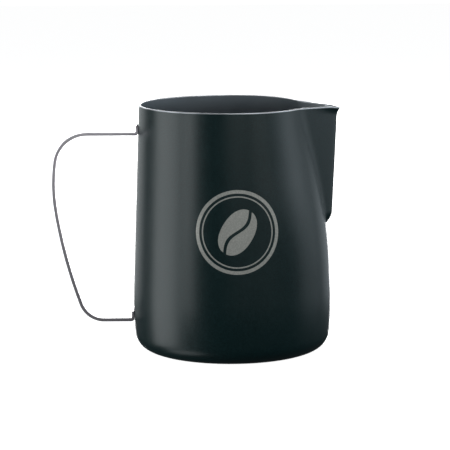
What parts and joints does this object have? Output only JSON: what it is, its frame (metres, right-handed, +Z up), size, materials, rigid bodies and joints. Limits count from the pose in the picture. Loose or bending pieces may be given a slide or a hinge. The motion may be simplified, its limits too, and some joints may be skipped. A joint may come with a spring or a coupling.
{
  "type": "milk frothing pitcher",
  "caption": "Black coated steel milk frothing pitcher: tapered round cup, pressed V spout with a small pouring lip, bent flat-strip handle spot-welded opposite the spout.",
  "frame": {"origin": "on the cup's axis, at the flat ring it stands on", "axes": "+Z up along the cup's axis, +X towards the spout, handle towards -X, Y across"},
  "size_m": [0.1284, 0.0888, 0.11],
  "materials": {
    "body_coat": "matt black non-stick coat over steel",
    "strap_coat": "satin dark coat over steel strip",
    "weld_steel": "dull coated spot weld"
  },
  "bodies": {
    "root": {"pitcher_body": "body_coat", "handle_strap": "strap_coat", "upper_weld_front": "weld_steel", "upper_weld_rear": "weld_steel", "lower_weld_front": "weld_steel", "lower_weld_rear": "weld_steel"}
  },
  "joints": []
}
